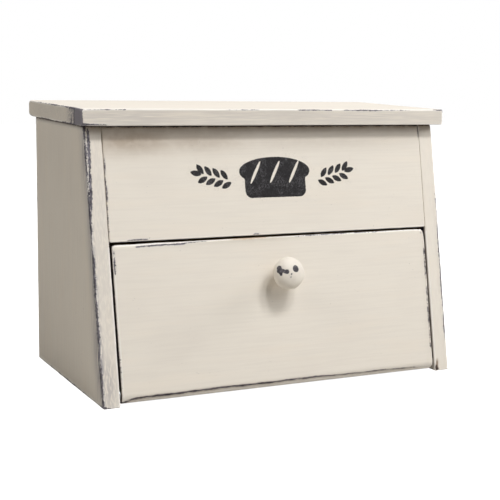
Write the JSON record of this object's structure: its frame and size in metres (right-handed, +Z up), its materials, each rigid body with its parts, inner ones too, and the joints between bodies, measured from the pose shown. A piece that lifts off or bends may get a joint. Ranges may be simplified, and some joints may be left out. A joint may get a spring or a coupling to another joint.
{
  "type": "bread box",
  "caption": "Wooden bread box with a sloping front, an overhanging top board and a drop-down door with a round turned knob.",
  "frame": {"origin": "on the underside of the bottom board, in the middle of the box's footprint", "axes": "+Z up, -Y out through the sloping front and its door, +X to the right of someone who faces the door"},
  "size_m": [0.446, 0.2458, 0.306],
  "materials": {
    "painted_pine": "matt off-white chalk paint over a dark grey undercoat, rubbed through at the edges",
    "painted_knob": "turned hardwood, painted as the box and chipped",
    "bare_pine": "planed pine, unpainted",
    "bright_steel": "drawn steel wire",
    "zinc_plated_steel": "zinc plated, dull bright"
  },
  "bodies": {
    "case": {"left_side": "painted_pine", "right_side": "painted_pine", "back_board": "painted_pine", "bottom_board": "bare_pine", "top_board": "painted_pine", "upper_front_panel": "painted_pine", "door_stop_rail": "bare_pine", "pivot_pin_left": "bright_steel", "pivot_pin_right": "bright_steel", "pivot_washer_left": "zinc_plated_steel", "pivot_washer_right": "zinc_plated_steel", "bottom_nail_left_1": "bright_steel", "bottom_nail_left_2": "bright_steel", "bottom_nail_left_3": "bright_steel", "bottom_nail_right_1": "bright_steel", "bottom_nail_right_2": "bright_steel", "bottom_nail_right_3": "bright_steel", "back_nail_left_1": "bright_steel", "back_nail_left_2": "bright_steel", "back_nail_left_3": "bright_steel", "back_nail_right_1": "bright_steel", "back_nail_right_2": "bright_steel", "back_nail_right_3": "bright_steel", "panel_nail_left_1": "bright_steel", "panel_nail_left_2": "bright_steel", "panel_nail_right_1": "bright_steel", "panel_nail_right_2": "bright_steel", "top_nail_left_1": "bright_steel", "top_nail_left_2": "bright_steel", "top_nail_left_3": "bright_steel", "top_nail_right_1": "bright_steel", "top_nail_right_2": "bright_steel", "top_nail_right_3": "bright_steel", "top_nail_back_1": "bright_steel", "top_nail_back_2": "bright_steel", "top_nail_front_1": "bright_steel", "top_nail_front_2": "bright_steel", "rail_nail_1": "bright_steel", "rail_nail_2": "bright_steel", "rail_nail_3": "bright_steel"},
    "door": {"drop_door": "painted_pine", "door_knob": "painted_knob", "knob_screw": "zinc_plated_steel", "knob_screw_washer": "zinc_plated_steel"}
  },
  "joints": [
    {"name": "door_hinge", "type": "hinge", "parent": "case", "child": "door", "pos_m": [0, -0.10546, 0.011], "axis": [1, 0, 0], "range_deg": [0, 87]}
  ]
}
